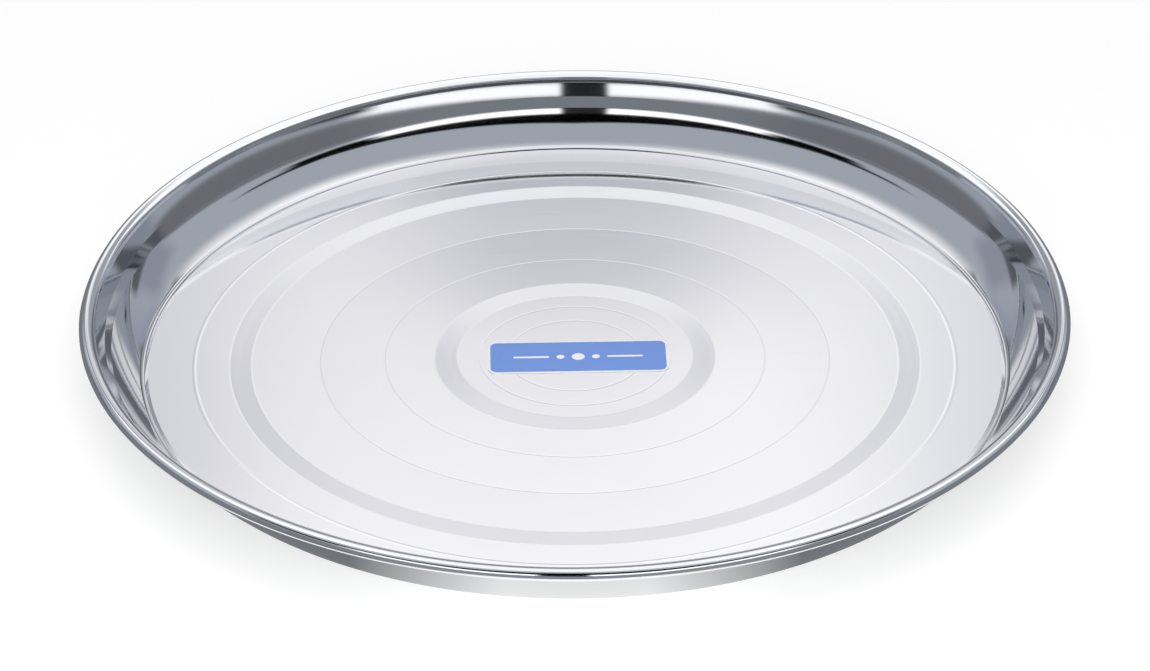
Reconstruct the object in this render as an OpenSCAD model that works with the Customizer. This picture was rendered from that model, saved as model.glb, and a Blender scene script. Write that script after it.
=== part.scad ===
// Round thali plate pressed from one stainless steel sheet, with a paper-thin label stuck to its floor.
// Millimetres, +Z up, origin on the axis at the level of the surface that the plate stands on.

/* [Plate] */
// Diameter over the rolled rim
plate_d = 300; // [230:1:380]
// Thickness of the steel sheet
sheet_t = 0.6; // [0.4:0.05:0.9]

/* [Floor] */
// Diameter of the level disc at the middle of the floor
centre_disc_d = 71.6; // [64:0.2:90]
// Height of the centre disc's underside above the table
centre_clear = 0.08; // [0.04:0.01:0.4]
// Width of the sloping band round the centre disc
centre_band_w = 7.3; // [4:0.1:12]
// Rise of the band round the centre disc, outward
centre_band_rise = 0.12; // [0.05:0.01:0.4]
// Width of the sloping band round the foot
outer_band_w = 7; // [4:0.1:12]
// Rise of the band round the foot, outward
outer_band_rise = 0.18; // [0.05:0.01:0.6]
// Width of the level border between the outer band and the wall
border_w = 25.8; // [16:0.2:34]

/* [Pressed lines] */
// Width of a fine ring line
line_w = 0.8; // [0.4:0.05:1.2]
// Depth of a fine ring line
line_depth = 0.01; // [0.005:0.005:0.1]
// Width of the bold ring line in the border
bold_line_w = 1.6; // [0.8:0.1:3]
// Height that the bold ring line stands above the border
bold_line_rise = 0.02; // [0.01:0.005:0.1]

/* [Wall] */
// Inside radius of the bend from the floor into the wall
corner_r = 2; // [1.4:0.1:4]
// Radius of the hollow curve of the lower wall
lower_wall_r = 51; // [40:0.5:60]
// Slope of the lower wall at its foot, in degrees
lower_foot_angle = 43; // [36:0.5:47]
// Slope of the lower wall at its head, in degrees
lower_head_angle = 57; // [52:0.5:60]
// Inside radius of the two creases that bound the step
crease_r = 0.5; // [0.3:0.1:1.5]
// Height of the steep step, measured along the sheet
step_l = 3.6; // [2:0.1:5]
// Slope of the steep step, in degrees
step_angle = 61.5; // [60.5:0.5:72]
// Radius of the flaring curve of the upper wall, on its hollow side
upper_wall_r = 128; // [90:1:160]
// Slope of the upper wall at its foot, in degrees
upper_foot_angle = 57; // [56:0.5:60]
// Slope of the upper wall at its head, in degrees
upper_head_angle = 55; // [52:0.5:55.5]

/* [Rim] */
// Inside radius of the crease from the wall into the neck
neck_r = 0.4; // [0.3:0.1:1]
// Height of the neck below the roll, measured along the sheet
neck_l = 1; // [0.4:0.05:2]
// Slope of the neck, in degrees
neck_angle = 82; // [74:0.5:86]
// Inside radius of the roll above the neck
roll_r = 0.7; // [0.4:0.1:1.2]
// Slope at which the roll meets the brow, in degrees
brow_angle = 33; // [26:0.5:40]
// Inside radius of the gentle brow between the roll and the crest
brow_r = 4; // [2.5:0.1:6]
// Slope at which the brow meets the crest, in degrees
crest_angle = 5; // [2:0.5:10]
// Inside radius of the crest, the highest part of the rim
crest_r = 0.7; // [0.4:0.1:1.2]
// Slope at which the crest meets the shoulder, in degrees below level
shoulder_angle = 38; // [32:0.5:42]
// Inside radius of the shoulder outside the crest
shoulder_r = 1.9; // [1.2:0.1:3]
// Slope of the flank at its head, in degrees below level
flank_head_angle = 49; // [45:0.5:52]
// Inside radius of the bowed flank that hangs below the shoulder
flank_r = 8.4; // [6:0.2:14]
// Slope of the flank at its foot, in degrees below level
flank_foot_angle = 58; // [55:0.5:62]
// Inside radius of the hem that turns the edge of the sheet in under the rim
hem_r = 0.25; // [0.15:0.05:0.5]
// Turn of the hem past the flank, in degrees
hem_turn = 132; // [122:1:142]
// Gap that the hem's edge leaves to the wall
hem_gap = 0.5; // [0.3:0.1:1.5]

/* [Label] */
// Length of the label's film
film_l = 55; // [44:0.5:58]
// Width of the label's film
film_w = 18.4; // [12:0.2:22]
// Corner radius of the label's film
film_corner_r = 2.9; // [1.5:0.1:5]
// Thickness of the adhesive coat
adhesive_t = 0.06; // [0.03:0.01:0.12]
// Thickness of the film
film_t = 0.12; // [0.06:0.01:0.2]
// Thickness of the printed coat
print_t = 0.05; // [0.03:0.01:0.1]
// Bare margin of film left round the print
print_margin = 0.7; // [0.4:0.1:1.5]
// Turn of the label about the plate's axis, in degrees
label_turn = 1; // [-5:0.5:5]
// Shift of the label off the axis, to the right
label_right = 1; // [-3:0.1:3]
// Shift of the label off the axis, towards the front
label_front = 1.2; // [-3:0.1:3]
// Diameter of the middle dot left bare in the print
dot_d = 4; // [2:0.1:6]
// Length of each bar left bare in the print
bar_l = 11; // [6:0.5:13]
// Width of each bar left bare in the print
bar_w = 1.1; // [0.6:0.1:2]
// Space between the dots and bars left bare in the print
motif_gap = 2.2; // [1:0.1:3]

/* [Hidden] */
$fn = 256;

// Places of the ring lines, as shares of the zone that each lies in
centre_line_shares = [0.577, 0.813];
field_line_share = 0.27;
foot_line_share = 0.627;
border_line_share = 0.41;
// The small dots beside the middle dot, as a share of its diameter
small_dot_share = 0.6;

// Greatest turn between two points of a bend, in degrees, and fewest steps in a bend
bend_step = 6;
bend_steps_min = 6;

// Pressed sheet, walked outward from the floor: each bend is [inside radius, from slope, to slope]
// and each flat is [length, slope]
hem_end_angle = -flank_foot_angle - hem_turn;
wall_bends = [
    [corner_r, 0, lower_foot_angle],
    [lower_wall_r, lower_foot_angle, lower_head_angle],
    [crease_r, lower_head_angle, step_angle],
    [step_l, step_angle],
    [crease_r, step_angle, upper_foot_angle],
    [upper_wall_r, upper_foot_angle, upper_head_angle],
];
rim_bends = [
    [neck_r, upper_head_angle, neck_angle],
    [neck_l, neck_angle],
    [roll_r, neck_angle, brow_angle],
    [brow_r, brow_angle, crest_angle],
    [crest_r, crest_angle, -shoulder_angle],
    [shoulder_r, -shoulder_angle, -flank_head_angle],
    [flank_r, -flank_head_angle, -flank_foot_angle],
    [hem_r, -flank_foot_angle, hem_end_angle],
];

function is_flat(move) = len(move) == 2;
function turns_left(move) = move[2] > move[1];
// Radius of a bend on the sheet's upper face, which is the outer face of a bend to the right
function face_r(move) = turns_left(move) ? move[0] : move[0] + sheet_t;
// Shift along the upper face from the start of a bend to where its slope is the one given
function bend_shift(move, slope) =
    (turns_left(move) ? 1 : -1) * face_r(move)
    * [sin(slope) - sin(move[1]), cos(move[1]) - cos(slope)];
function flat_shift(move) = move[0] * [cos(move[1]), sin(move[1])];
function bend_steps(move) = max(bend_steps_min, ceil(abs(move[2] - move[1]) / bend_step));
function bend_slope(move, i) = move[1] + (move[2] - move[1]) * i / bend_steps(move);
// Stations of one move after its start: each is [point on the upper face, slope]
function move_stations(move, start) = is_flat(move)
    ? [[start + flat_shift(move), move[1]]]
    : [for (i = [1:bend_steps(move)]) [start + bend_shift(move, bend_slope(move, i)), bend_slope(move, i)]];
function last(list) = list[len(list) - 1];
// Stations of a chain of moves, with the start station first
function walk(moves, stations, i = 0) = i == len(moves)
    ? stations
    : walk(moves, concat(stations, move_stations(moves[i], last(stations)[0])), i + 1);
function upper_points(stations) = [for (s = stations) s[0]];
function lower_points(stations) = [for (s = stations) s[0] + sheet_t * [sin(s[1]), -cos(s[1])]];
function reversed(list) = [for (i = [len(list) - 1:-1:0]) list[i]];
function moved(stations, shift) = [for (s = stations) [s[0] + shift, s[1]]];

// Wall and rim, from the floor's edge at [0, 0]; the hem stops short of the wall by its gap
wall_stations = walk(wall_bends, [[[0, 0], 0]]);
wall_head_under = last(lower_points(wall_stations));
rim_stations = walk(rim_bends, wall_stations);
hem_reach = last(rim_stations)[0][0] - wall_head_under[0] - hem_gap;
sheet_stations = walk([[hem_reach / -cos(hem_end_angle), hem_end_angle]], rim_stations);
wall_run = max([for (p = upper_points(sheet_stations)) p[0]]);

// Levels of the floor's upper face
foot_z = sheet_t;
centre_z = foot_z + centre_clear;
field_z = centre_z + centre_band_rise;
border_z = foot_z + outer_band_rise;

// Radii of the floor's zones
floor_edge_r = plate_d / 2 - wall_run;
border_r = floor_edge_r - border_w;
foot_r = border_r - outer_band_w;
centre_r = centre_disc_d / 2;
field_r = centre_r + centre_band_w;
field_line_r = field_r + field_line_share * (foot_r - field_r);
foot_line_r = field_r + foot_line_share * (foot_r - field_r);
border_line_r = border_r + border_line_share * border_w;

floor_levels = [
    [0, centre_z],
    [centre_r, centre_z],
    [field_r, field_z],
    [foot_line_r, foot_z],
    [foot_r, foot_z],
    [border_r, border_z],
    [floor_edge_r, border_z],
];
function floor_z(r) = lookup(r, floor_levels);
// Points of a ring line in the floor's upper face, sunk by its depth, or raised where that is below zero
function ring_line(r, w, depth) =
    [[r - w / 2, floor_z(r - w / 2)], [r, floor_z(r) - depth], [r + w / 2, floor_z(r + w / 2)]];
function fine_line(r) = ring_line(r, line_w, line_depth);

floor_upper = concat(
    [floor_levels[0]],
    [for (share = centre_line_shares) each fine_line(share * centre_r)],
    [floor_levels[1], floor_levels[2]],
    fine_line(field_line_r),
    fine_line(foot_line_r),
    [floor_levels[4], floor_levels[5]],
    ring_line(border_line_r, bold_line_w, -bold_line_rise)
);
floor_lower = [for (i = [0:len(floor_levels) - 2]) floor_levels[i] - [0, sheet_t]];

module plate() {
    placed = moved(sheet_stations, [floor_edge_r, border_z]);
    color([0.77, 0.78, 0.80])
    rotate_extrude()
        polygon(concat(
            floor_upper,
            upper_points(placed),
            reversed(lower_points(placed)),
            reversed(floor_lower)
        ));
}

// Rectangle with round corners, centred on the axis
module rounded_rectangle(l, w, r) {
    square([l - 2 * r, w], center = true);
    square([l, w - 2 * r], center = true);
    for (x = [-1, 1], y = [-1, 1])
        translate([x * (l / 2 - r), y * (w / 2 - r)])
        circle(r);
}

// One coat of the label, from the height given above the centre disc
module label_coat(height, thickness) {
    translate([label_right, -label_front, centre_z + height])
    rotate(label_turn)
    linear_extrude(thickness)
        children();
}

module film_outline() {
    rounded_rectangle(film_l, film_w, film_corner_r);
}

// Bar with round ends, centred on the axis
module round_ended_bar(l, w) {
    square([l - w, w], center = true);
    for (x = [-1, 1])
        translate([x * (l - w) / 2, 0])
        circle(d = w);
}

// A row of dots between two bars, where the film shows through the print
module print_motif() {
    small_dot_d = small_dot_share * dot_d;
    small_dot_x = dot_d / 2 + motif_gap + small_dot_d / 2;
    bar_x = small_dot_x + small_dot_d / 2 + motif_gap + bar_l / 2;
    circle(d = dot_d);
    for (side = [-1, 1]) {
        translate([side * small_dot_x, 0])
        circle(d = small_dot_d);
        translate([side * bar_x, 0])
        round_ended_bar(bar_l, bar_w);
    }
}

module label_adhesive() {
    color([0.93, 0.93, 0.88])
    label_coat(0, adhesive_t)
        film_outline();
}

module label_film() {
    color([0.97, 0.97, 0.98])
    label_coat(adhesive_t, film_t)
        film_outline();
}

module label_print() {
    color([0.44, 0.60, 0.89])
    label_coat(adhesive_t + film_t, print_t)
    difference() {
        rounded_rectangle(
            film_l - 2 * print_margin,
            film_w - 2 * print_margin,
            film_corner_r - print_margin
        );
        print_motif();
    }
}

plate();
label_adhesive();
label_film();
label_print();
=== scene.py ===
"""Stainless steel thali plate with a small label stuck to its floor, in a bright product studio.

The plate is one pressed sheet. Its profile is walked outward from the axis as bands, flats and bends, and is
turned about the axis with exact normals, so that the polished steel reflects cleanly.
"""

import logging
import math
from collections.abc import Sequence
from dataclasses import dataclass, field, replace
from enum import Enum
from typing import Any

import bpy
from bpy.types import ID, Material, Mesh, NodeSocket, NodeTree, Object
from mathutils import Matrix, Vector

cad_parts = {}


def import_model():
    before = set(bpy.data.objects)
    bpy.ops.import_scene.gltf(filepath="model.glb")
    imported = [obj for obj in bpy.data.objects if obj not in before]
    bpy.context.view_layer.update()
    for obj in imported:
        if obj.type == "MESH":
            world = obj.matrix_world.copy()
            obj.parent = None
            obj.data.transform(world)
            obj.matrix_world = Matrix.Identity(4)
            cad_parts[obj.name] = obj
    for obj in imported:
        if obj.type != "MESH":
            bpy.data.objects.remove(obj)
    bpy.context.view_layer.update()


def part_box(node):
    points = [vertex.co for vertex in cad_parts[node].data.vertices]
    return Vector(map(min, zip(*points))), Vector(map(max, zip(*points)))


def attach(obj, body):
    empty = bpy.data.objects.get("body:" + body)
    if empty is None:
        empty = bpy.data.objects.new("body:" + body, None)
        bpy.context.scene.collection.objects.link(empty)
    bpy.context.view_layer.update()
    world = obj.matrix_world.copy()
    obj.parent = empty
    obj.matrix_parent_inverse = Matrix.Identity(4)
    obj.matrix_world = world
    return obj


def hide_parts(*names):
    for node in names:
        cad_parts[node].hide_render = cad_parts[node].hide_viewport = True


LOG = logging.getLogger("thali_plate")

MM = 0.001
MICRON = 1e-6
ROOT_BODY = "root"

# The sRGB curve: a straight foot, then a power
SRGB_FOOT_SHARE = 0.04045
SRGB_FOOT_SLOPE = 12.92
SRGB_OFFSET = 0.055
SRGB_POWER = 2.4

# Blender's names for the kinds of node that are used often
BUMP = "ShaderNodeBump"
MAP_RANGE = "ShaderNodeMapRange"
MATH = "ShaderNodeMath"
MIX = "ShaderNodeMix"
NOISE = "ShaderNodeTexNoise"
VECTOR_MATH = "ShaderNodeVectorMath"

# Sockets of the mix node when it mixes colours
MIX_FACTOR = 0
MIX_FIRST = 6
MIX_SECOND = 7
MIX_RESULT = 2

Pair = tuple[float, float]
Colour = tuple[float, float, float, float]


def linear(hex_colour: str, level: float = 1.0) -> Colour:
    """Turns an sRGB hex colour into linear RGBA.

    Args:
        hex_colour: A hash and six hex digits.
        level: Factor on the linear colour.

    Returns:
        Linear red, green and blue times the level, and an alpha of one.
    """
    shares = [int(hex_colour[i : i + 2], 16) / 255 for i in (1, 3, 5)]
    curve = [((s + SRGB_OFFSET) / (1 + SRGB_OFFSET)) ** SRGB_POWER for s in shares]
    red, green, blue = (s / SRGB_FOOT_SLOPE if s <= SRGB_FOOT_SHARE else c for s, c in zip(shares, curve))
    return red * level, green * level, blue * level, 1.0


def add_node(
    tree: NodeTree,
    kind: str,
    inputs: dict[int | str, Any] | None = None,
    output: int | str = 0,
    **settings: Any,
) -> NodeSocket | None:
    """Adds a node, sets its properties, and fills or links its inputs.

    Args:
        tree: Node tree that gets the node.
        kind: Blender's name for the kind of node.
        inputs: Values or output sockets, by input name or index.
        output: Name or index of the output that is wanted.
        **settings: Properties of the node.

    Returns:
        That output, or nothing if the node has none.
    """
    node = tree.nodes.new(kind)
    for name, value in settings.items():
        setattr(node, name, value)
    for key, value in (inputs or {}).items():
        if isinstance(value, NodeSocket):
            tree.links.new(value, node.inputs[key])
        else:
            node.inputs[key].default_value = value
    return node.outputs[output] if node.outputs else None


def new_material(name: str) -> Material:
    """Makes a node material with no nodes in it.

    Args:
        name: Name of the finish.

    Returns:
        The material.
    """
    material = bpy.data.materials.new(name)
    material.use_nodes = True
    material.node_tree.nodes.clear()
    return material


def show(name: str, data: ID) -> Object:
    """Puts a mesh, curve, lamp or camera into the scene.

    Args:
        name: Name of the object.
        data: What it shows.

    Returns:
        The new object.
    """
    shown = bpy.data.objects.new(name, data)
    bpy.context.scene.collection.objects.link(shown)
    return shown


def spokes(count: int) -> list[Pair]:
    """Gives the directions of even spokes round the axis.

    Args:
        count: Number of spokes.

    Returns:
        The X and Y of each direction.
    """
    turns = [2 * math.pi * i / count for i in range(count)]
    return [(math.cos(turn), math.sin(turn)) for turn in turns]


class Zone(Enum):
    """Areas of the sheet that were worked in different ways, in the order of the plate's materials.

    The step takes in the wall above it, and the rim takes in the neck and the hem.
    """

    FLOOR = 0
    BAND = 1
    BORDER = 2
    WALL = 3
    STEP = 4
    RIM = 5
    OUTSIDE = 6
    UNDERSIDE = 7


class Grain(Enum):
    """Ways that fine marks run on the steel."""

    ROLLED = "straight across the sheet"
    TURNED = "round the axis"
    DRAWN = "up the wall"


@dataclass(frozen=True)
class SteelFinish:
    """Stainless steel sheet, with the marks that its making left.

    Attributes:
        name: Name of the finish.
        tone: Colour of the reflection.
        roughness: Middle of the roughness.
        grain: Direction of the fine marks.
        grain_mm: Spacing of the fine marks, coarser than real ones so that they show.
        wave_mm: Size of the soft waves that a pressed sheet keeps.
        wave_micron: Depth of these waves.
        roughness_swing: Change of the roughness from mark to mark.
        grain_micron: Depth of the fine marks.
        haze_share: Share of the reflection that the dullest patches lose.
        brushing: How far rings of fine scratches stretch the reflection along the radius, from zero to one.
    """

    name: str
    tone: str
    roughness: float
    grain: Grain
    grain_mm: float
    wave_mm: float
    wave_micron: float
    roughness_swing: float = 0.015
    grain_micron: float = 0.02
    haze_share: float = 0.03
    brushing: float = 0.0

    # Share of a whole turn from the ring's direction to the radius
    QUARTER_TURN = 0.25
    # Marks run this many times longer than they are wide
    RUN_LENGTH = 40.0
    # Radius at which the spacing of marks up the wall is true
    WALL_RADIUS_MM = 142.0
    # Layers of noise in the marks and in the waves, and the share of a mark that its next layer keeps
    MARK_DETAIL = 3.0
    WAVE_DETAIL = 1.0
    MARK_KEEP_SHARE = 0.6
    # Values of the noise that give the lowest and highest roughness
    MARK_SPAN = (0.3, 0.7)

    def grain_place(self, tree: NodeTree, place: NodeSocket) -> NodeSocket:
        """Bends the object's coordinates so that noise runs along the grain.

        Args:
            tree: Node tree of the material.
            place: Object coordinates.

        Returns:
            Coordinates in which one unit is the spacing of the marks.
        """
        spacing = 1 / (self.grain_mm * MM)
        if self.grain is Grain.ROLLED:
            stretch = (spacing / self.RUN_LENGTH, spacing, spacing)
            return add_node(tree, VECTOR_MATH, {0: place, 1: stretch}, operation="MULTIPLY")
        level = add_node(tree, VECTOR_MATH, {0: place, 1: (1, 1, 0)}, operation="MULTIPLY")
        turn = add_node(tree, VECTOR_MATH, {0: level}, operation="NORMALIZE")
        if self.grain is Grain.DRAWN:
            reach = spacing * self.WALL_RADIUS_MM * MM
            return add_node(tree, VECTOR_MATH, {0: turn, "Scale": reach}, operation="SCALE")
        radius = add_node(tree, VECTOR_MATH, {0: level}, operation="LENGTH", output="Value")
        height = add_node(tree, "ShaderNodeSeparateXYZ", {0: place}, output="Z")
        ring = add_node(tree, "ShaderNodeCombineXYZ", {0: radius, 1: height})
        run = add_node(tree, VECTOR_MATH, {0: ring, "Scale": spacing}, operation="SCALE")
        return add_node(tree, VECTOR_MATH, {0: run, 1: turn}, operation="ADD")

    def material(self) -> Material:
        """Builds the finish.

        Returns:
            The material.
        """
        material = new_material(self.name)
        tree = material.node_tree
        place = add_node(tree, "ShaderNodeTexCoord", output="Object")
        run = self.grain_place(tree, place)
        marks = add_node(
            tree,
            NOISE,
            {"Vector": run, "Scale": 1.0, "Detail": self.MARK_DETAIL, "Roughness": self.MARK_KEEP_SHARE},
        )
        waves = add_node(
            tree, NOISE, {"Vector": place, "Scale": 1 / (self.wave_mm * MM), "Detail": self.WAVE_DETAIL}
        )
        lowest, highest = self.MARK_SPAN
        roughness = add_node(
            tree,
            MAP_RANGE,
            {
                "Value": marks,
                "From Min": lowest,
                "From Max": highest,
                "To Min": self.roughness - self.roughness_swing,
                "To Max": self.roughness + self.roughness_swing,
            },
        )
        dull = linear(self.tone, 1 - self.haze_share)
        tone = add_node(
            tree,
            MIX,
            {MIX_FACTOR: waves, MIX_FIRST: dull, MIX_SECOND: linear(self.tone)},
            MIX_RESULT,
            data_type="RGBA",
        )
        wavy = add_node(tree, BUMP, {"Height": waves, "Strength": 1.0, "Distance": self.wave_micron * MICRON})
        marked = add_node(
            tree,
            BUMP,
            {"Height": marks, "Strength": 1.0, "Distance": self.grain_micron * MICRON, "Normal": wavy},
        )
        ring = add_node(tree, "ShaderNodeTangent", direction_type="RADIAL", axis="Z")
        shader = add_node(
            tree,
            "ShaderNodeBsdfPrincipled",
            {
                "Base Color": tone,
                "Metallic": 1.0,
                "Roughness": roughness,
                "Normal": marked,
                "Tangent": ring,
                "Anisotropic": self.brushing,
                "Anisotropic Rotation": self.QUARTER_TURN,
            },
        )
        add_node(tree, "ShaderNodeOutputMaterial", {"Surface": shader})
        return material


# Bright-annealed sheet: cold rolled and left as it came, so it mirrors with a faint haze
BRIGHT_FLOOR = SteelFinish(
    name="bright_annealed_steel", tone="#EEEEF2", roughness=0.10,
    grain=Grain.ROLLED, grain_mm=0.5, wave_mm=45, wave_micron=8,
)
# The same sheet out by the wall, where it is least scuffed: reflections keep sharper edges
BRIGHT_BORDER = replace(BRIGHT_FLOOR, name="bright_border_steel", roughness=0.05, roughness_swing=0.01)
# Sloping bands, brushed round the axis: paler where the rings run across the view, greyer at the sides
BRUSHED_BAND = SteelFinish(
    name="brushed_band_steel", tone="#F2F2F6", roughness=0.24, roughness_swing=0.02,
    grain=Grain.TURNED, grain_mm=0.5, wave_mm=45, wave_micron=4, brushing=0.85,
)
# Lower wall, buffed on a wheel: a clear mirror with faint turned lines
BUFFED_WALL = SteelFinish(
    name="buffed_steel", tone="#DCDDE0", roughness=0.05,
    grain=Grain.TURNED, grain_mm=0.6, wave_mm=30, wave_micron=4, haze_share=0.02,
)
# Step and upper wall, ironed by the draw ring and half buffed: a mirror with upright streaks, its tone
# darkened as painted shade
DRAWN_SHADED_STEP = SteelFinish(
    name="drawn_shaded_steel", tone="#D0D2D6", roughness=0.06, roughness_swing=0.006,
    grain=Grain.DRAWN, grain_mm=1.2, wave_mm=20, wave_micron=2,
)
# Buffed rim, the brightest part of the plate
BUFFED_RIM = SteelFinish(
    name="buffed_rim_steel", tone="#EEEFF2", roughness=0.06,
    grain=Grain.TURNED, grain_mm=0.4, wave_mm=40, wave_micron=3, haze_share=0.02,
)
# Outside of the wall, buffed with the rim: a slightly softer mirror
BUFFED_OUTSIDE = SteelFinish(
    name="buffed_outside_steel", tone="#E8E9EA", roughness=0.08, roughness_swing=0.02,
    grain=Grain.TURNED, grain_mm=0.6, grain_micron=0.03, wave_mm=30, wave_micron=5,
)
# Underside, spun against a brush: a satin with rings
BRUSHED_UNDERSIDE = SteelFinish(
    name="brushed_underside_steel", tone="#DDDEE0", roughness=0.26, roughness_swing=0.06,
    grain=Grain.TURNED, grain_mm=0.7, grain_micron=0.4, wave_mm=45, wave_micron=8, haze_share=0.05,
)


@dataclass(frozen=True)
class CoatFinish:
    """A thin coat of the label, such as film, ink or adhesive.

    Attributes:
        name: Name of the finish.
        tone: Colour of the coat.
        fleck_tone: Colour of its faint flecks.
        roughness: Roughness of the coat.
        fleck_mm: Size of the flecks.
        peel_mm: Size of the coat's soft unevenness.
        peel_micron: Depth of the unevenness.
        ior: Refractive index.
    """

    name: str
    tone: str
    fleck_tone: str
    roughness: float
    fleck_mm: float
    peel_mm: float
    peel_micron: float
    ior: float

    # Layers of noise in the flecks and the unevenness
    NOISE_DETAIL = 2.0
    # Lowest and highest roughness, as shares of the middle one
    ROUGHNESS_SHARES = (0.85, 1.15)

    def material(self) -> Material:
        """Builds the finish.

        Returns:
            The material.
        """
        material = new_material(self.name)
        tree = material.node_tree
        place = add_node(tree, "ShaderNodeTexCoord", output="Object")
        flecks, peel = (
            add_node(tree, NOISE, {"Vector": place, "Scale": 1 / (size * MM), "Detail": self.NOISE_DETAIL})
            for size in (self.fleck_mm, self.peel_mm)
        )
        tone = add_node(
            tree,
            MIX,
            {MIX_FACTOR: flecks, MIX_FIRST: linear(self.fleck_tone), MIX_SECOND: linear(self.tone)},
            MIX_RESULT,
            data_type="RGBA",
        )
        lowest, highest = (self.roughness * share for share in self.ROUGHNESS_SHARES)
        roughness = add_node(tree, MAP_RANGE, {"Value": flecks, "To Min": lowest, "To Max": highest})
        uneven = add_node(
            tree, BUMP, {"Height": peel, "Strength": 1.0, "Distance": self.peel_micron * MICRON}
        )
        shader = add_node(
            tree,
            "ShaderNodeBsdfPrincipled",
            {"Base Color": tone, "Roughness": roughness, "IOR": self.ior, "Normal": uneven},
        )
        add_node(tree, "ShaderNodeOutputMaterial", {"Surface": shader})
        return material


# Acrylic adhesive: a clear, slightly yellow coat that shows only at the label's edge
ACRYLIC_ADHESIVE = CoatFinish(
    name="acrylic_adhesive", tone="#E9E8DE", fleck_tone="#DDDCD0", roughness=0.35,
    fleck_mm=1.5, peel_mm=2.0, peel_micron=2.0, ior=1.47,
)
# White polypropylene film: opaque and evenly pale, with a soft shine
WHITE_FILM = CoatFinish(
    name="white_polypropylene_film", tone="#FAFAFC", fleck_tone="#F1F2F5", roughness=0.42,
    fleck_mm=0.8, peel_mm=1.2, peel_micron=1.0, ior=1.49,
)
# Printed ink under varnish: even blue with a faint mottle, glossier than the film
BLUE_INK = CoatFinish(
    name="varnished_blue_ink", tone="#7199E4", fleck_tone="#6B92DD", roughness=0.34,
    fleck_mm=0.6, peel_mm=1.5, peel_micron=1.0, ior=1.48,
)


@dataclass(frozen=True)
class Facet:
    """One straight piece of the sheet's profile.

    Attributes:
        start: Radius and height where it starts, in millimetres.
        end: Radius and height where it ends.
        start_normal: True normal of the sheet at the start, outward in radius and up.
        end_normal: True normal of the sheet at the end.
        zone: Area of the sheet that it belongs to.
    """

    start: Pair
    end: Pair
    start_normal: Pair
    end_normal: Pair
    zone: Zone

    def underside(self, thickness: float, zone: Zone) -> "Facet":
        """Gives the facet on the other face of the sheet, walked the other way.

        Args:
            thickness: Thickness of the sheet.
            zone: Area that it belongs to.

        Returns:
            The facet on the other face.
        """
        far_end = tuple(p - thickness * n for p, n in zip(self.end, self.end_normal))
        far_start = tuple(p - thickness * n for p, n in zip(self.start, self.start_normal))
        end_down = tuple(-n for n in self.end_normal)
        start_down = tuple(-n for n in self.start_normal)
        return Facet(far_end, far_start, end_down, start_down, zone)


def slope_normal(slope: float) -> Pair:
    """Gives the upward normal of a face that rises outward with a slope in radians."""
    return -math.sin(slope), math.cos(slope)


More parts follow.
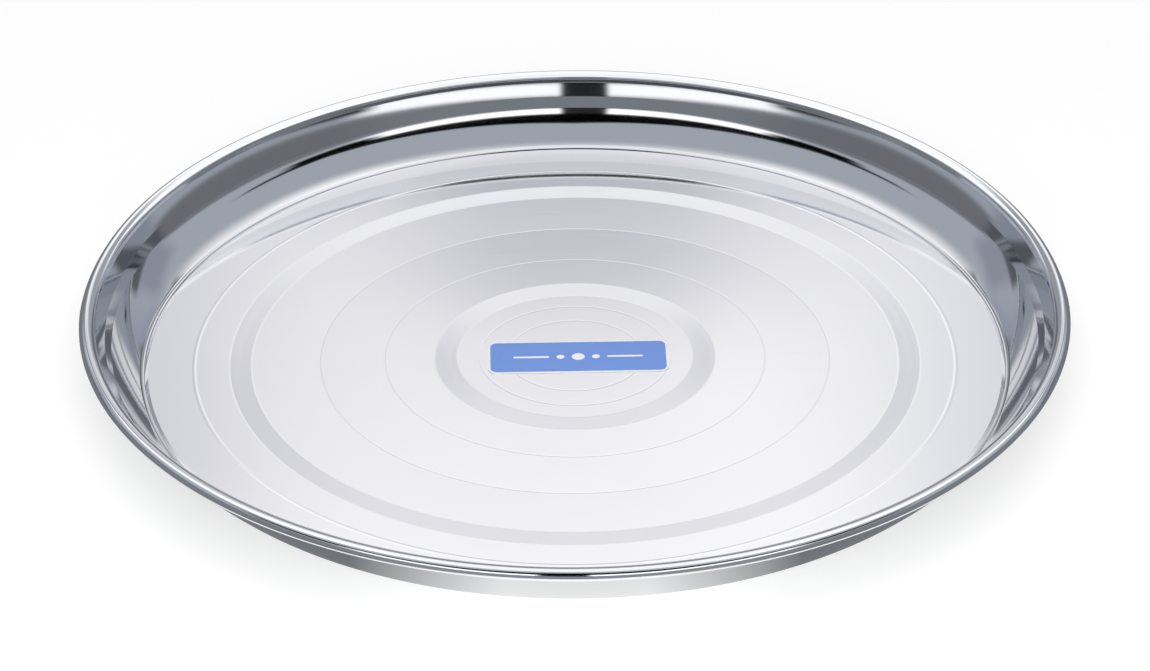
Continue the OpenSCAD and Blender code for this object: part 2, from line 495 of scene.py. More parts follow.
@dataclass
class PressedPlate:
    """The plate: one steel sheet pressed into a floor, a stepped wall and a rolled rim.

    Sizes are in millimetres. A bend's radius is that of its hollow side, and slopes are those of the sheet,
    walked outward. A line's share is how far out it lies on its stretch of the floor.
    """

    sheet: float = 0.6
    # Floor, from the middle outward
    centre_r: float = 35.8
    centre_clear: float = 0.08
    centre_line_shares: Pair = (0.577, 0.813)
    centre_band_w: float = 7.3
    centre_band_rise: float = 0.12
    field_line_share: float = 0.27
    foot_line_share: float = 0.627
    outer_band_w: float = 7.0
    outer_band_rise: float = 0.18
    border_w: float = 25.8
    border_line_share: float = 0.41
    line_w: float = 0.8
    line_depth: float = 0.01
    bold_line_w: float = 1.6
    bold_line_rise: float = 0.02
    crease_w: float = 0.8
    seam_w: float = 1.2
    seam_depth: float = 0.3
    seam_deg: float = 52.0
    # Wall, from the floor up
    corner_r: float = 2.0
    lower_wall_r: float = 51.0
    lower_wall_deg: Pair = (43.0, 57.0)
    crease_r: float = 0.5
    step_l: float = 3.6
    step_deg: float = 61.5
    upper_wall_r: float = 128.0
    upper_wall_deg: Pair = (57.0, 55.0)
    # Rim, from the wall over to the hem
    neck_r: float = 0.4
    neck_l: float = 1.0
    neck_deg: float = 82.0
    roll_r: float = 0.7
    brow_deg: float = 33.0
    brow_r: float = 4.0
    crest_deg: float = 5.0
    crest_r: float = 0.7
    shoulder_deg: float = -38.0
    shoulder_r: float = 1.9
    flank_r: float = 8.4
    flank_deg: Pair = (-49.0, -58.0)
    hem_r: float = 0.25
    hem_end_deg: float = -190.0
    hem_gap: float = 0.5
    # How finely it is drawn
    segments: int = 360
    bend_step_deg: float = 3.5
    bend_steps_min: int = 4
    line_steps: int = 8
    facets: list[Facet] = field(default_factory=list)

    def stretch(self, start: Pair, size: float, turn_deg: Pair, zone: Zone) -> list[Facet]:
        """Walks one stretch of the upper face, straight or bent.

        Args:
            start: Radius and height of the start.
            size: Length of a straight stretch, or radius on the hollow side of a bend.
            turn_deg: Slopes at the start and the end, which are the same on a straight stretch.
            zone: Area that the stretch belongs to.

        Returns:
            The facets of the stretch.
        """
        first, last = turn_deg
        if first == last:
            slope = math.radians(first)
            end = (start[0] + size * math.cos(slope), start[1] + size * math.sin(slope))
            return [Facet(start, end, slope_normal(slope), slope_normal(slope), zone)]
        side = 1 if last > first else -1
        radius = side * (size if side > 0 else size + self.sheet)
        steps = max(self.bend_steps_min, math.ceil(abs(last - first) / self.bend_step_deg))
        slopes = [math.radians(first + (last - first) * i / steps) for i in range(steps + 1)]
        centre = (start[0] - radius * math.sin(slopes[0]), start[1] + radius * math.cos(slopes[0]))
        places = [(centre[0] + radius * math.sin(s), centre[1] - radius * math.cos(s)) for s in slopes]
        normals = [slope_normal(s) for s in slopes]
        return [Facet(places[i], places[i + 1], normals[i], normals[i + 1], zone) for i in range(steps)]

    def wall_facets(self, start: Pair) -> list[Facet]:
        """Walks the upper face from the floor's edge over the rim to the hem's edge.

        Args:
            start: Radius and height of the floor's edge.

        Returns:
            The facets of the wall and rim.
        """
        lower_foot, lower_head = self.lower_wall_deg
        upper_foot, upper_head = self.upper_wall_deg
        flank_head, flank_foot = self.flank_deg
        stretches = [
            (self.corner_r, (0.0, lower_foot), Zone.WALL),
            (self.lower_wall_r, self.lower_wall_deg, Zone.WALL),
            (self.crease_r, (lower_head, self.step_deg), Zone.STEP),
            (self.step_l, (self.step_deg, self.step_deg), Zone.STEP),
            (self.crease_r, (self.step_deg, upper_foot), Zone.STEP),
            (self.upper_wall_r, self.upper_wall_deg, Zone.STEP),
            (self.neck_r, (upper_head, self.neck_deg), Zone.RIM),
            (self.neck_l, (self.neck_deg, self.neck_deg), Zone.RIM),
            (self.roll_r, (self.neck_deg, self.brow_deg), Zone.RIM),
            (self.brow_r, (self.brow_deg, self.crest_deg), Zone.RIM),
            (self.crest_r, (self.crest_deg, self.shoulder_deg), Zone.RIM),
            (self.shoulder_r, (self.shoulder_deg, flank_head), Zone.RIM),
            (self.flank_r, self.flank_deg, Zone.RIM),
            (self.hem_r, (flank_foot, self.hem_end_deg), Zone.RIM),
        ]
        walk = []
        end = start
        for size, turn_deg, zone in stretches:
            walk += self.stretch(end, size, turn_deg, zone)
            end = walk[-1].end
        wall_head = [f for f in walk if f.zone is Zone.STEP][-1].underside(self.sheet, Zone.OUTSIDE).start
        reach = (end[0] - wall_head[0] - self.hem_gap) / -math.cos(math.radians(self.hem_end_deg))
        return walk + self.stretch(end, reach, (self.hem_end_deg, self.hem_end_deg), Zone.RIM)

    def floor_levels(self, edge_r: float) -> list[Pair]:
        """Gives the corners of the floor's upper face, before its creases are eased.

        Args:
            edge_r: Radius of the floor's edge.

        Returns:
            Radius and height of each corner, from the axis to the wall.
        """
        border_r = edge_r - self.border_w
        foot_r = border_r - self.outer_band_w
        field_r = self.centre_r + self.centre_band_w
        foot_line_r = field_r + self.foot_line_share * (foot_r - field_r)
        centre_z = self.sheet + self.centre_clear
        border_z = self.sheet + self.outer_band_rise
        return [
            (0.0, centre_z),
            (self.centre_r, centre_z),
            (field_r, centre_z + self.centre_band_rise),
            (foot_line_r, self.sheet),
            (foot_r, self.sheet),
            (border_r, border_z),
            (edge_r, border_z),
        ]

    def floor_facets(self, edge_r: float, with_lines: bool) -> list[Facet]:
        """Walks the floor from the axis to the wall.

        Args:
            edge_r: Radius of the floor's edge.
            with_lines: Whether the pressed lines are drawn.

        Returns:
            The facets of the floor.
        """
        levels = self.floor_levels(edge_r)
        _, centre_r, field_r, foot_line_r, foot_r, border_r, _ = (radius for radius, _ in levels)
        lines = []
        if with_lines:
            fine = [share * centre_r for share in self.centre_line_shares]
            fine += [field_r + self.field_line_share * (foot_r - field_r), foot_line_r]
            lines = [(radius, self.line_w, self.line_depth) for radius in fine]
            bold_r = border_r + self.border_line_share * self.border_w
            lines.append((bold_r, self.bold_line_w, -self.bold_line_rise))
        grades = [(b[1] - a[1]) / (b[0] - a[0]) for a, b in zip(levels, levels[1:])]
        stations = {0.0, edge_r}
        for radius, _ in levels[1:-1]:
            stations |= {radius - self.crease_w / 2, radius + self.crease_w / 2}
        for radius, width, _ in lines:
            stations |= {radius + width * (i / self.line_steps - 0.5) for i in range(self.line_steps + 1)}

        def grade_at(radius: float) -> float:
            """Gives the floor's rise over run, eased over each crease.

            Args:
                radius: Radius at which it is wanted.

            Returns:
                The rise over run, without the pressed lines.
            """
            grade = grades[0]
            for (corner, _), before, after in zip(levels[1:-1], grades, grades[1:]):
                share = min(1.0, max(0.0, (radius - corner) / self.crease_w + 0.5))
                grade += (after - before) * share
            return grade

        def line_dip(radius: float) -> Pair:
            """Gives what a pressed line adds at a radius.

            Args:
                radius: Radius at which it is wanted.

            Returns:
                Depth and rise over run of the line there, both zero where there is none.
            """
            for middle, width, depth in lines:
                turn = 2 * math.pi * (radius - middle) / width
                if abs(turn) < math.pi:
                    return depth * (1 + math.cos(turn)) / 2, depth * math.pi / width * math.sin(turn)
            return 0.0, 0.0

        radii = sorted(stations)
        bands = ((centre_r, field_r), (foot_r, border_r))
        height = levels[0][1]
        place, normal = levels[0], slope_normal(0.0)
        facets = []
        for before, radius in zip(radii, radii[1:]):
            height += (radius - before) * (grade_at(before) + grade_at(radius)) / 2
            depth, dip_grade = line_dip(radius)
            next_place = (radius, height - depth)
            next_normal = slope_normal(math.atan(grade_at(radius) + dip_grade))
            middle = (before + radius) / 2
            zone = Zone.BORDER if middle > border_r else Zone.FLOOR
            if any(start < middle < end for start, end in bands):
                zone = Zone.BAND
            facets.append(Facet(place, next_place, normal, next_normal, zone))
            place, normal = next_place, next_normal
        return facets

    def cut_seam(self, floor: list[Facet]) -> list[Facet]:
        """Cuts the tool's thin seam into the floor, just inside the wall.

        Args:
            floor: The facets of the floor; the last one is level.

        Returns:
            The facets with the seam as the last two.
        """
        level = floor[-1]
        head = (level.end[0] - self.seam_w, level.end[1])
        run = self.seam_depth / math.tan(math.radians(self.seam_deg))
        root = (level.end[0] - run, level.end[1] - self.seam_depth)
        fall = slope_normal(math.atan2(root[1] - head[1], root[0] - head[0]))
        rise = slope_normal(math.radians(self.seam_deg))
        cut = [Facet(level.start, head, level.start_normal, level.start_normal, level.zone)]
        cut += [Facet(head, root, fall, fall, level.zone), Facet(root, level.end, rise, rise, Zone.WALL)]
        return floor[:-1] + cut

    def walk(self, outer_r: float) -> None:
        """Walks the whole profile: out along the upper face, round the cut edge and back below.

        Args:
            outer_r: Radius over the rim.
        """
        border_z = self.sheet + self.outer_band_rise
        trial = self.wall_facets((0.0, border_z))
        edge_r = outer_r - max(f.end[0] for f in trial)
        upper_floor = self.cut_seam(self.floor_facets(edge_r, with_lines=True))
        wall = self.wall_facets(upper_floor[-1].end)
        lower_wall = [f.underside(self.sheet, Zone.OUTSIDE) for f in reversed(wall)]
        lower_floor = self.floor_facets(edge_r, with_lines=False)
        below = [f.underside(self.sheet, Zone.UNDERSIDE) for f in reversed(lower_floor)]
        slope = math.radians(self.hem_end_deg)
        edge_normal = (math.cos(slope), math.sin(slope))
        cut_edge = Facet(wall[-1].end, lower_wall[0].start, edge_normal, edge_normal, Zone.RIM)
        self.facets = upper_floor + wall + [cut_edge] + lower_wall + below

    def mesh(self) -> Mesh:
        """Turns the profile about the axis.

        Returns:
            The mesh, in metres, with exact normals.
        """
        count = self.segments
        rays = spokes(count)
        rings = [f.end for f in self.facets[:-1]]
        points = [(0.0, 0.0, self.facets[0].start[1] * MM)]
        points += [(r * c * MM, r * s * MM, z * MM) for r, z in rings for c, s in rays]
        points.append((0.0, 0.0, self.facets[-1].end[1] * MM))
        faces, zones, normals = [], [], []
        for i, facet in enumerate(self.facets):
            inner = 1 + (i - 1) * count
            outer = inner + count
            for j in range(count):
                k = (j + 1) % count
                corners = [
                    (inner + j, facet.start_normal, j),
                    (outer + j, facet.end_normal, j),
                    (outer + k, facet.end_normal, k),
                    (inner + k, facet.start_normal, k),
                ]
                if i == 0:
                    corners = [(0, facet.start_normal, j), *corners[1:3]]
                elif i == len(self.facets) - 1:
                    corners = [corners[0], (len(points) - 1, facet.end_normal, j), corners[3]]
                faces.append([point for point, _, _ in corners])
                zones.append(facet.zone.value)
                normals += [(n[0] * rays[t][0], n[0] * rays[t][1], n[1]) for _, n, t in corners]
        mesh = bpy.data.meshes.new("plate")
        mesh.from_pydata(points, [], faces)
        mesh.polygons.foreach_set("material_index", zones)
        mesh.polygons.foreach_set("use_smooth", [True] * len(faces))
        mesh.normals_split_custom_set(normals)
        mesh.update()
        return mesh

    def build(self) -> Object:
        """Makes the plate in place of its plain solid.

        Returns:
            The plate.
        """
        low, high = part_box("plate")
        self.walk((high.x - low.x) / 2 / MM)
        plate = show("pressed_plate", self.mesh())
        finishes = {
            Zone.FLOOR: BRIGHT_FLOOR,
            Zone.BAND: BRUSHED_BAND,
            Zone.BORDER: BRIGHT_BORDER,
            Zone.WALL: BUFFED_WALL,
            Zone.STEP: DRAWN_SHADED_STEP,
            Zone.RIM: BUFFED_RIM,
            Zone.OUTSIDE: BUFFED_OUTSIDE,
            Zone.UNDERSIDE: BRUSHED_UNDERSIDE,
        }
        for zone in Zone:
            plate.data.materials.append(finishes[zone].material())
        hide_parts("plate")
        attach(plate, ROOT_BODY)
        return plate


class LabelLayer(Enum):
    """Coats of the label, by the node that each stands for."""

    ADHESIVE = "label_adhesive"
    FILM = "label_film"
    PRINT = "label_print"


@dataclass
class Label:
    """The label: adhesive, white film and a blue print with a plain motif left bare.

    Sizes are in millimetres. The edge share is how much of a coat's thickness its eased edge takes. The round
    share stops short of one, so that no two points of an outline meet.
    """

    film_l: float = 55.0
    film_w: float = 18.4
    film_corner_r: float = 2.9
    print_margin: float = 0.7
    turn_deg: float = 1.0
    right: float = 1.0
    front: float = 1.2
    dot_d: float = 4.0
    small_dot_share: float = 0.6
    bar_l: float = 11.0
    bar_w: float = 1.1
    motif_gap: float = 2.2
    round_share: float = 0.999
    edge_share: float = 0.3
    edge_steps: int = 2
    corner_steps: int = 10

    def rounded(self, length: float, width: float, radius: float, middle_x: float = 0.0) -> list[Pair]:
        """Gives the outline of a rectangle with round corners.

        Args:
            length: Length along X.
            width: Width along Y.
            radius: Corner radius.
            middle_x: Place of the middle along X.

        Returns:
            Points of the outline.
        """
        outline = []
        for quarter in range(4):
            sign_x = 1 if quarter in (0, 3) else -1
            sign_y = 1 if quarter in (0, 1) else -1
            for i in range(self.corner_steps + 1):
                turn = math.pi / 2 * (quarter + i / self.corner_steps)
                x = middle_x + sign_x * (length / 2 - radius) + radius * math.cos(turn)
                outline.append((x, sign_y * (width / 2 - radius) + radius * math.sin(turn)))
        return outline

    def motif(self) -> list[list[Pair]]:
        """Gives the outlines of the dots and bars that the print leaves bare.

        Returns:
            The outlines, from the middle outward.
        """
        small_d = self.small_dot_share * self.dot_d
        small_x = self.dot_d / 2 + self.motif_gap + small_d / 2
        bar_x = small_x + small_d / 2 + self.motif_gap + self.bar_l / 2
        bare = [(0.0, self.dot_d, self.dot_d)]
        for side in (-1, 1):
            bare += [(side * small_x, small_d, small_d), (side * bar_x, self.bar_l, self.bar_w)]
        return [self.rounded(length, width, width / 2 * self.round_share, x) for x, length, width in bare]

    def outlines(self, layer: LabelLayer) -> list[list[Pair]]:
        """Gives the outer outline of a coat, and the outlines of its holes.

        Args:
            layer: The coat.

        Returns:
            The outlines, the outer one first.
        """
        if layer is not LabelLayer.PRINT:
            return [self.rounded(self.film_l, self.film_w, self.film_corner_r)]
        inset = 2 * self.print_margin
        outer = self.rounded(self.film_l - inset, self.film_w - inset, self.film_corner_r - self.print_margin)
        return [outer] + self.motif()

    def coat(self, layer: LabelLayer, finish: CoatFinish) -> Object:
        """Makes one coat in place of its plain solid, with eased edges.

        Args:
            layer: The coat.
            finish: Its finish.

        Returns:
            The coat.
        """
        low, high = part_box(layer.value)
        thickness = high.z - low.z
        edge = thickness * self.edge_share
        curve = bpy.data.curves.new(layer.value, "CURVE")
        curve.dimensions = "2D"
        curve.fill_mode = "BOTH"
        curve.extrude = thickness / 2 - edge
        curve.bevel_depth = edge
        curve.bevel_resolution = self.edge_steps
        curve.offset = -edge
        for outline in self.outlines(layer):
            spline = curve.splines.new("POLY")
            spline.points.add(len(outline) - 1)
            for point, (x, y) in zip(spline.points, outline):
                point.co = (x * MM, y * MM, 0, 1)
            spline.use_cyclic_u = True
        drawn = show(layer.value, curve)
        seen = drawn.evaluated_get(bpy.context.evaluated_depsgraph_get())
        mesh = bpy.data.meshes.new_from_object(seen)
        bpy.data.objects.remove(drawn)
        place = Matrix.Translation((self.right * MM, -self.front * MM, (low.z + high.z) / 2))
        mesh.transform(place @ Matrix.Rotation(math.radians(self.turn_deg), 4, "Z"))
        mesh.materials.clear()
        mesh.materials.append(finish.material())
        piece = show(layer.value + "_coat", mesh)
        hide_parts(layer.value)
        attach(piece, ROOT_BODY)
        return piece

    def build(self) -> list[Object]:
        """Makes the coats, from the floor up.

        Returns:
            The coats.
        """
        finishes = {
            LabelLayer.ADHESIVE: ACRYLIC_ADHESIVE,
            LabelLayer.FILM: WHITE_FILM,
            LabelLayer.PRINT: BLUE_INK,
        }
        return [self.coat(layer, finishes[layer]) for layer in LabelLayer]


class Side(Enum):
    """Walls of the studio that a patch's middle line lies on."""

    FRONT = -1.0
    BACK = 1.0


# Ways in which the edges of boards and walls fall to the sides, as the steel sees them
LEVEL = (0.0, 0.0)
EVEN = (0.00135, 0.0)
RAIL = (0.00168, 0.0)
BENT = (0.00135, 4.2e-8)
WIDE = (0.00264, 0.0)

# Swing that takes in the whole room, past the fades of its ends
ALL_ROUND = (-190.0, 190.0)


@dataclass(frozen=True)
class StudioPatch:
    """A board, flag or gap of the studio, as the polished steel sees it.

    Attributes:
        name: What it is.
        side: Wall that it is on.
        rise: Lowest and highest degrees above the table, on the wall's middle line.
        swing: Degrees to the right of the wall's middle line, where it starts and ends.
        tone: Its colour.
        soft_rise: Degrees over which its lower and upper edges fade.
        soft_swing: Degrees over which its side edges fade.
        droop: Fall of its edges to the sides, by the swing's second and fourth powers.
        taper: Further fall of its upper edge for each degree of swing.
        twin: Whether another one stands at the same swing on the other side.
        level: Its brightness, where one is white.
    """

    name: str
    side: Side
    rise: Pair
    swing: Pair
    tone: str
    soft_rise: Pair
    soft_swing: float
    droop: Pair = LEVEL
    taper: float = 0.0
    twin: bool = False
    level: float = 1.0

    def fade(self, tree: NodeTree, values: Sequence[NodeSocket], span: Pair, soft: Pair) -> NodeSocket:
        """Gives one inside a span and zero outside it, with soft edges.

        Args:
            tree: Node tree of the world.
            values: Values to test against the start and the end.
            span: Start and end of the span.
            soft: Widths of the fades at the start and the end.

        Returns:
            The mask.
        """
        steps = [
            add_node(
                tree,
                MAP_RANGE,
                {"Value": value, "From Min": edge - width / 2, "From Max": edge + width / 2},
                interpolation_type="SMOOTHSTEP",
            )
            for value, edge, width in zip(values, span, soft)
        ]
        return add_node(tree, MATH, {0: steps[0], 1: steps[1]}, operation="SUBTRACT")

    def mask(self, tree: NodeTree, swing: NodeSocket, height: NodeSocket) -> NodeSocket:
        """Gives one where the patch is seen and zero elsewhere.

        Args:
            tree: Node tree of the world.
            swing: Degrees to the right of the middle line of the patch's wall.
            height: Degrees above the table.

        Returns:
            The mask.
        """
        square = add_node(tree, MATH, {0: swing, 1: swing}, operation="MULTIPLY")
        second, fourth = self.droop
        bend = add_node(tree, MATH, {0: square, 1: fourth, 2: second}, operation="MULTIPLY_ADD")
        rise = add_node(tree, MATH, {0: square, 1: bend, 2: height}, operation="MULTIPLY_ADD")
        away = add_node(tree, MATH, {0: swing}, operation="ABSOLUTE")
        top = add_node(tree, MATH, {0: away, 1: self.taper, 2: rise}, operation="MULTIPLY_ADD")
        upright = self.fade(tree, (rise, top), self.rise, self.soft_rise)
        across = away if self.twin else swing
        level = self.fade(tree, (across, across), self.swing, (self.soft_swing, self.soft_swing))
        return add_node(tree, MATH, {0: upright, 1: level}, operation="MULTIPLY")


class LampKind(Enum):
    """Kinds of lamp, by Blender's names."""

    AREA = "AREA"
    SPOT = "SPOT"


@dataclass(frozen=True)
class Lamp:
    """A lamp that lights the matt surfaces; the steel mirrors the room instead.

    Attributes:
        name: What it is.
        kind: Kind of lamp.
        place: Where it stands, in metres.
        target: What it points at, in metres.
        watts: Its power.
        spread: Side of an area lamp in metres, or angle of a spot's cone in degrees.
    """

    name: str
    kind: LampKind
    place: tuple[float, float, float]
    target: tuple[float, float, float]
    watts: float
    spread: float

    # How much of a spot's cone fades, and the radius of its bulb in metres
    SPOT_BLEND = 1.0
    BULB_R = 0.05

    def build(self) -> Object:
        """Makes the lamp.

        Returns:
            The lamp.
        """
        data = bpy.data.lights.new(self.name, self.kind.value)
        data.energy = self.watts
        if self.kind is LampKind.AREA:
            data.size = self.spread
        else:
            data.spot_size = math.radians(self.spread)
            data.spot_blend = self.SPOT_BLEND
            data.shadow_soft_size = self.BULB_R
        lamp = show(self.name, data)
        lamp.location = self.place
        way = Vector(self.target) - Vector(self.place)
        lamp.rotation_euler = way.to_track_quat("-Z", "Y").to_euler()
        lamp.visible_camera = False
        lamp.visible_glossy = False
        return lamp


@dataclass
class Studio:
    """A white room round the table: bright overhead, with boards, flags and gaps on its walls.

    Lengths are in millimetres. The table's lift is its glow in the picture, for the room's light that the
    lamps leave out. The card is painted shade and light that only the steel's reflections see: it glows grey
    round the plate and under its rim, and pale in front of it. A strip of the card is given by the radius and
    height of its two edges. The card's first tone, in front of the plate, fades to the second over a span of
    swing. Each patch is painted over those before it.
    """

    overhead_tone: str = "#FFFFFF"
    overhead_level: float = 1.15
    table_half: float = 8000.0
    table_drop: float = 0.02
    table_tone: str = "#A6A6A7"
    table_lift: float = 0.68
    table_tooth: float = 2.0
    table_roughness: Pair = (0.75, 0.85)
    table_specular: float = 0.2
    # The card: painted shade round the plate's foot and painted light in front, seen only in the steel's
    # reflections
    card_strips: tuple[tuple[Pair, Pair], ...] = (((130.8, 0.1), (150.0, 0.1)), ((185.0, 0.0), (185.0, 24.0)))
    painted_shade_tones: tuple[str, str] = ("#F8F8F8", "#7A7D82")
    card_fade_deg: Pair = (9.0, 29.0)
    card_sides: int = 96
    patches: tuple[StudioPatch, ...] = (
        StudioPatch("ceiling", Side.BACK, (72, 91), ALL_ROUND, "#FFFFFF", (10, 1), 1, level=1.06),
        StudioPatch(
            "skylights", Side.FRONT, (40, 70), (65, 108), "#FFFFFF", (8, 8), 16, twin=True, level=1.35
        ),
        StudioPatch("low walls", Side.BACK, (-90, 23), ALL_ROUND, "#9FA5B4", (1, 16), 1),
        StudioPatch("front wall", Side.FRONT, (-90, 66), (-140, 140), "#B5BBC4", (1, 9), 24, WIDE),
        StudioPatch("skirting", Side.FRONT, (-90, 38.1), (-135, 135), "#7F8287", (1, 1.5), 14, BENT),
        StudioPatch("pale skirting", Side.FRONT, (20, 38.1), (-50, 50), "#8E9197", (6, 1.5), 30, BENT),
        StudioPatch("apron", Side.FRONT, (-90, 18), (-125, 125), "#4A4C50", (1, 8), 20, BENT),
        StudioPatch("side walls", Side.BACK, (-90, 18), (47, 62), "#9DA1AE", (1, 6), 6, twin=True),
        StudioPatch("side skirting", Side.BACK, (-90, 7.2), (45, 64), "#62656B", (1, 2), 4, twin=True),
        StudioPatch("board", Side.FRONT, (38.1, 43), (-57, 57), "#FFFFFF", (1.2, 1), 14, EVEN, level=1.6),
        StudioPatch("camera", Side.FRONT, (37.2, 44), (-9.3, 3.3), "#2A2B2E", (1, 1), 2, EVEN),
        StudioPatch("black rail", Side.FRONT, (42, 46.1), (-95, 95), "#020202", (0.8, 0.8), 10, RAIL, 0.035),
        StudioPatch("thick rail", Side.FRONT, (43, 49.3), (-68, 68), "#020202", (0.8, 0.8), 8, RAIL, 0.078),
        StudioPatch(
            "rail tails", Side.FRONT, (40.2, 45.7), (54, 80), "#020202", (0.8, 0.8), 9, RAIL, 0.03, twin=True
        ),
        StudioPatch("rear board", Side.BACK, (29.7, 33.5), (-40, 40), "#FFFFFF", (2.4, 3), 30),
        StudioPatch("right rear board", Side.BACK, (30, 34.5), (1.4, 3.6), "#FFFFFF", (2, 3), 2, level=1.1),
        StudioPatch("rear sweep", Side.BACK, (-90, 29.7), (-18, 14), "#DCDCE0", (1, 2.4), 10),
        StudioPatch("rear gap", Side.BACK, (-90, 30.2), (-2, 2), "#C5C5CC", (1, 2.4), 2.5),
        StudioPatch("rear skirting", Side.BACK, (-90, 15), (-31, 31), "#7C7F86", (1, 4), 5),
        StudioPatch("left rear veil", Side.BACK, (16, 33.5), (-30, -4.5), "#E2E2E6", (6, 3), 3),
        StudioPatch("right rear veil", Side.BACK, (16, 33.5), (5, 30), "#E6E7EB", (6, 3), 3),
        StudioPatch("left rear flag", Side.BACK, (16, 42), (-30, -8.5), "#9C9DA4", (6, 8), 5),
        StudioPatch("right rear flag", Side.BACK, (16, 42), (10.5, 30), "#A4A5AC", (6, 8), 6),
        StudioPatch("low flags", Side.BACK, (8, 18), (15, 33), "#6E7178", (3, 4), 4, twin=True),
        StudioPatch("side flags", Side.BACK, (22.5, 31), (35, 52), "#7A7D84", (2, 3), 5, twin=True),
    )
    lamps: tuple[Lamp, ...] = (
        Lamp("overhead_softbox", LampKind.AREA, (0, 0.2, 2.3), (0, 0.2, 0), 38.0, 2.6),
        Lamp("front_fill", LampKind.AREA, (0, -1.9, 1.25), (0, 0, 0), 33.0, 1.6),
        Lamp("front_snoot", LampKind.SPOT, (0, -1.45, 0.95), (0, -0.15, 0), 90.0, 6.0),
    )

    def bearing(self, tree: NodeTree, way: NodeSocket, side: Side) -> NodeSocket:
        """Gives how far a direction swings to the right of a wall's middle line.

        Args:
            tree: Node tree that gets the nodes.
            way: The direction.
            side: The wall.

        Returns:
            The swing in degrees.
        """
        split = add_node(tree, "ShaderNodeSeparateXYZ", {0: way}).node.outputs
        ahead = add_node(tree, MATH, {0: split["Y"], 1: side.value}, operation="MULTIPLY")
        swing = add_node(tree, MATH, {0: split["X"], 1: ahead}, operation="ARCTAN2")
        return add_node(tree, MATH, {0: swing}, operation="DEGREES")

    def light(self) -> None:
        """Paints the room into the world, by direction."""
        world = bpy.data.worlds.new("studio_room")
        bpy.context.scene.world = world
        world.use_nodes = True
        world.cycles_visibility.diffuse = False
        tree = world.node_tree
        tree.nodes.clear()
        way = add_node(tree, "ShaderNodeTexCoord", output="Generated")
        rise = add_node(tree, "ShaderNodeSeparateXYZ", {0: way}, output="Z")
        climb = add_node(tree, MATH, {0: rise}, operation="ARCSINE")
        height = add_node(tree, MATH, {0: climb}, operation="DEGREES")
        swings = {side: self.bearing(tree, way, side) for side in Side}
        colour: Any = linear(self.overhead_tone, self.overhead_level)
        for patch in self.patches:
            mask = patch.mask(tree, swings[patch.side], height)
            colour = add_node(
                tree,
                MIX,
                {MIX_FACTOR: mask, MIX_FIRST: colour, MIX_SECOND: linear(patch.tone, patch.level)},
                MIX_RESULT,
                data_type="RGBA",
            )
        background = add_node(tree, "ShaderNodeBackground", {"Color": colour, "Strength": 1.0})
        add_node(tree, "ShaderNodeOutputWorld", {"Surface": background})

    def painted_shade_finish(self) -> Material:
        """Builds the card's painted light and shade: a pale glow in front of the plate and a grey glow
        elsewhere.

        Returns:
            The material.
        """
        material = new_material("painted_shade_card")
        tree = material.node_tree
        place = add_node(tree, "ShaderNodeTexCoord", output="Object")
        bearing = self.bearing(tree, place, Side.FRONT)
        away = add_node(tree, MATH, {0: bearing}, operation="ABSOLUTE")
        start, end = self.card_fade_deg
        share = add_node(tree, MAP_RANGE, {"Value": away, "From Min": start, "From Max": end})
        # Pale tone is painted light in front of the plate; grey tone is painted shade round the rest
        front, rest = (linear(tone) for tone in self.painted_shade_tones)
        tone = add_node(
            tree, MIX, {MIX_FACTOR: share, MIX_FIRST: front, MIX_SECOND: rest}, MIX_RESULT, data_type="RGBA"
        )
        glow = add_node(tree, "ShaderNodeEmission", {"Color": tone, "Strength": 1.0})
        add_node(tree, "ShaderNodeOutputMaterial", {"Surface": glow})
        return material

    def card(self) -> Object:
        """Makes the graded card of painted shade and light round the plate's foot, which only the steel's
        reflections see.

        Returns:
            The card.
        """
        count = self.card_sides
        rays = spokes(count)
        points, faces = [], []
        for strip in self.card_strips:
            first = len(points)
            points += [(r * c * MM, r * s * MM, z * MM) for r, z in strip for c, s in rays]
            nexts = [(i, (i + 1) % count) for i in range(count)]
            faces += [(first + i, first + j, first + j + count, first + i + count) for i, j in nexts]
        mesh = bpy.data.meshes.new("card")
        mesh.from_pydata(points, [], faces)
        mesh.materials.append(self.painted_shade_finish())
        card = show("card", mesh)
        card.visible_camera = False
        card.visible_diffuse = False
        card.visible_shadow = False
        card.visible_transmission = False
        return card

    def table_finish(self) -> Material:
        """Builds the table's matt white paint, which is clear from below.

        Returns:
            The material.
        """
        material = new_material("matt_white_table")
        tree = material.node_tree
        path = add_node(tree, "ShaderNodeLightPath").node.outputs
        seen = path["Is Camera Ray"]
        for kind in ("Is Glossy Ray", "Is Transmission Ray"):
            seen = add_node(tree, MATH, {0: seen, 1: path[kind]}, operation="MAXIMUM")
        lift = add_node(tree, MATH, {0: seen, 1: self.table_lift}, operation="MULTIPLY")
        place = add_node(tree, "ShaderNodeTexCoord", output="Object")
        tooth = add_node(tree, NOISE, {"Vector": place, "Scale": 1 / (self.table_tooth * MM)})
        lowest, highest = self.table_roughness
        roughness = add_node(tree, MAP_RANGE, {"Value": tooth, "To Min": lowest, "To Max": highest})
        matt = add_node(
            tree,
            "ShaderNodeBsdfPrincipled",
            {
                "Base Color": linear(self.table_tone),
                "Roughness": roughness,
                "Specular IOR Level": self.table_specular,
                "Emission Color": linear("#FFFFFF"),
                "Emission Strength": lift,
            },
        )
        clear = add_node(tree, "ShaderNodeBsdfTransparent")
        below = add_node(tree, "ShaderNodeNewGeometry", output="Backfacing")
        either = add_node(tree, "ShaderNodeMixShader", {0: below, 1: matt, 2: clear})
        add_node(tree, "ShaderNodeOutputMaterial", {"Surface": either})
        return material

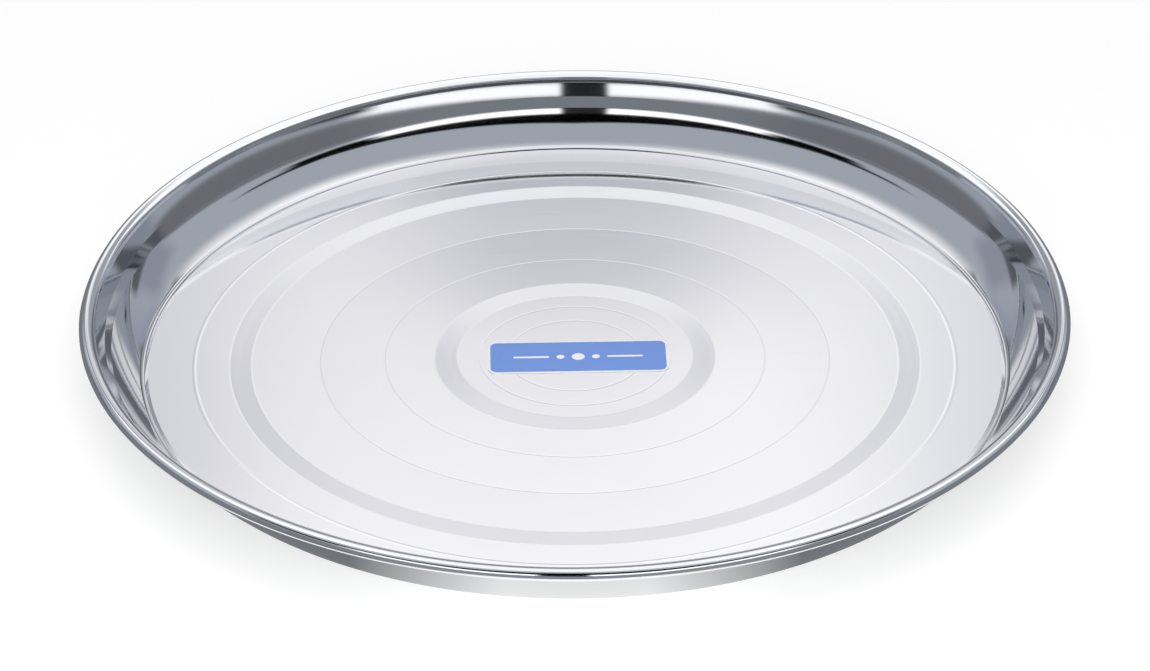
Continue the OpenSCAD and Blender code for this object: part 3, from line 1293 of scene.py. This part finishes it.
    def table(self) -> Object:
        """Makes the plain pale table.

        Returns:
            The table.
        """
        mesh = bpy.data.meshes.new("table")
        half = self.table_half * MM
        corners = [(-half, -half, 0), (half, -half, 0), (half, half, 0), (-half, half, 0)]
        mesh.from_pydata(corners, [], [(0, 1, 2, 3)])
        mesh.materials.append(self.table_finish())
        table = show("table", mesh)
        table.location.z = -self.table_drop * MM
        return table


@dataclass
class PhotoCamera:
    """The camera at the photograph's angle. Lengths are in millimetres, and pixels are the photograph's."""

    image_w_px: float = 1150.0
    image_h_px: float = 671.0
    focal_px: float = 4857.4
    aim_px: Pair = (574.93, 355.01)
    distance: float = 1482.9
    elevation_deg: float = 31.14
    roll_deg: float = -0.40
    aim_height: float = 0.7
    sensor: float = 36.0
    nearest: float = 10.0

    def build(self) -> Object:
        """Makes the camera and sets it as the scene's.

        Returns:
            The camera.
        """
        data = bpy.data.cameras.new("camera")
        data.sensor_width = self.sensor
        data.lens = self.focal_px / self.image_w_px * self.sensor
        data.shift_x = (self.image_w_px / 2 - self.aim_px[0]) / self.image_w_px
        data.shift_y = (self.aim_px[1] - self.image_h_px / 2) / self.image_w_px
        data.clip_start = self.nearest * MM
        camera = show("camera", data)
        elevation = math.radians(self.elevation_deg)
        back = Vector((0, -math.cos(elevation), math.sin(elevation)))
        turn = (-back).to_track_quat("-Z", "Y").to_matrix().to_4x4()
        roll = Matrix.Rotation(math.radians(self.roll_deg), 4, "Z")
        place = Vector((0, 0, self.aim_height * MM)) + back * self.distance * MM
        camera.matrix_world = Matrix.Translation(place) @ turn @ roll
        bpy.context.scene.camera = camera
        return camera


def main() -> None:
    """Builds the studio and the plate."""
    logging.basicConfig(level=logging.INFO, format="%(name)s: %(message)s")
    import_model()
    bpy.context.scene.view_settings.view_transform = "Standard"
    studio = Studio()
    studio.light()
    for piece in (studio.table(), studio.card(), *(lamp.build() for lamp in studio.lamps)):
        LOG.info("stage: %s", piece.name)
    LOG.info("camera: %s", PhotoCamera().build().name)
    plate = PressedPlate().build()
    LOG.info("piece: %s, %d faces", plate.name, len(plate.data.polygons))
    for coat in Label().build():
        LOG.info("piece: %s, %d faces", coat.name, len(coat.data.polygons))


if __name__ == "__main__":
    main()
